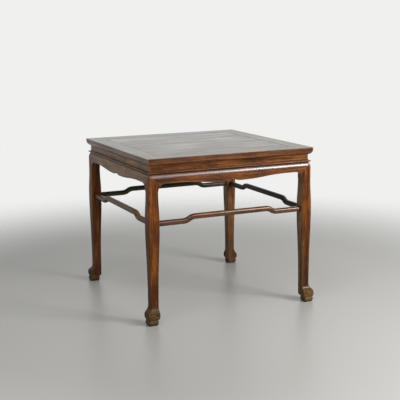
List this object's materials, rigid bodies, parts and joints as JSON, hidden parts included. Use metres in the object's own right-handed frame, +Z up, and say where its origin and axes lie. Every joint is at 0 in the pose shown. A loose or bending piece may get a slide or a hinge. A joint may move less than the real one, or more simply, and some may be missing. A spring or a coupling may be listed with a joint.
{
  "type": "square dining table",
  "caption": "Square hardwood dining table with a framed board top, recessed waist, cusped aprons, hump-backed stretchers and out-turned feet.",
  "frame": {"origin": "on the floor under the middle of the table top", "axes": "+Z up, +X along the front side towards the right, +Y from the front to the back"},
  "size_m": [0.974, 0.974, 0.85],
  "materials": {
    "top_wood": "satin, worn",
    "body_wood": "satin, worn",
    "batten_wood": "dry, unpolished"
  },
  "bodies": {
    "root": {"frame_rail_front": "top_wood", "frame_rail_right": "top_wood", "frame_rail_back": "top_wood", "frame_rail_left": "top_wood", "panel_board_1": "top_wood", "panel_board_2": "top_wood", "panel_board_3": "top_wood", "panel_board_4": "top_wood", "panel_batten_1": "batten_wood", "panel_batten_2": "batten_wood", "panel_batten_3": "batten_wood", "waist_front": "body_wood", "waist_right": "body_wood", "waist_back": "body_wood", "waist_left": "body_wood", "fillet_front": "body_wood", "fillet_right": "body_wood", "fillet_back": "body_wood", "fillet_left": "body_wood", "apron_front": "body_wood", "apron_right": "body_wood", "apron_back": "body_wood", "apron_left": "body_wood", "stretcher_front": "body_wood", "stretcher_right": "body_wood", "stretcher_back": "body_wood", "stretcher_left": "body_wood", "leg_front_right": "body_wood", "leg_back_right": "body_wood", "leg_back_left": "body_wood", "leg_front_left": "body_wood"}
  },
  "joints": []
}
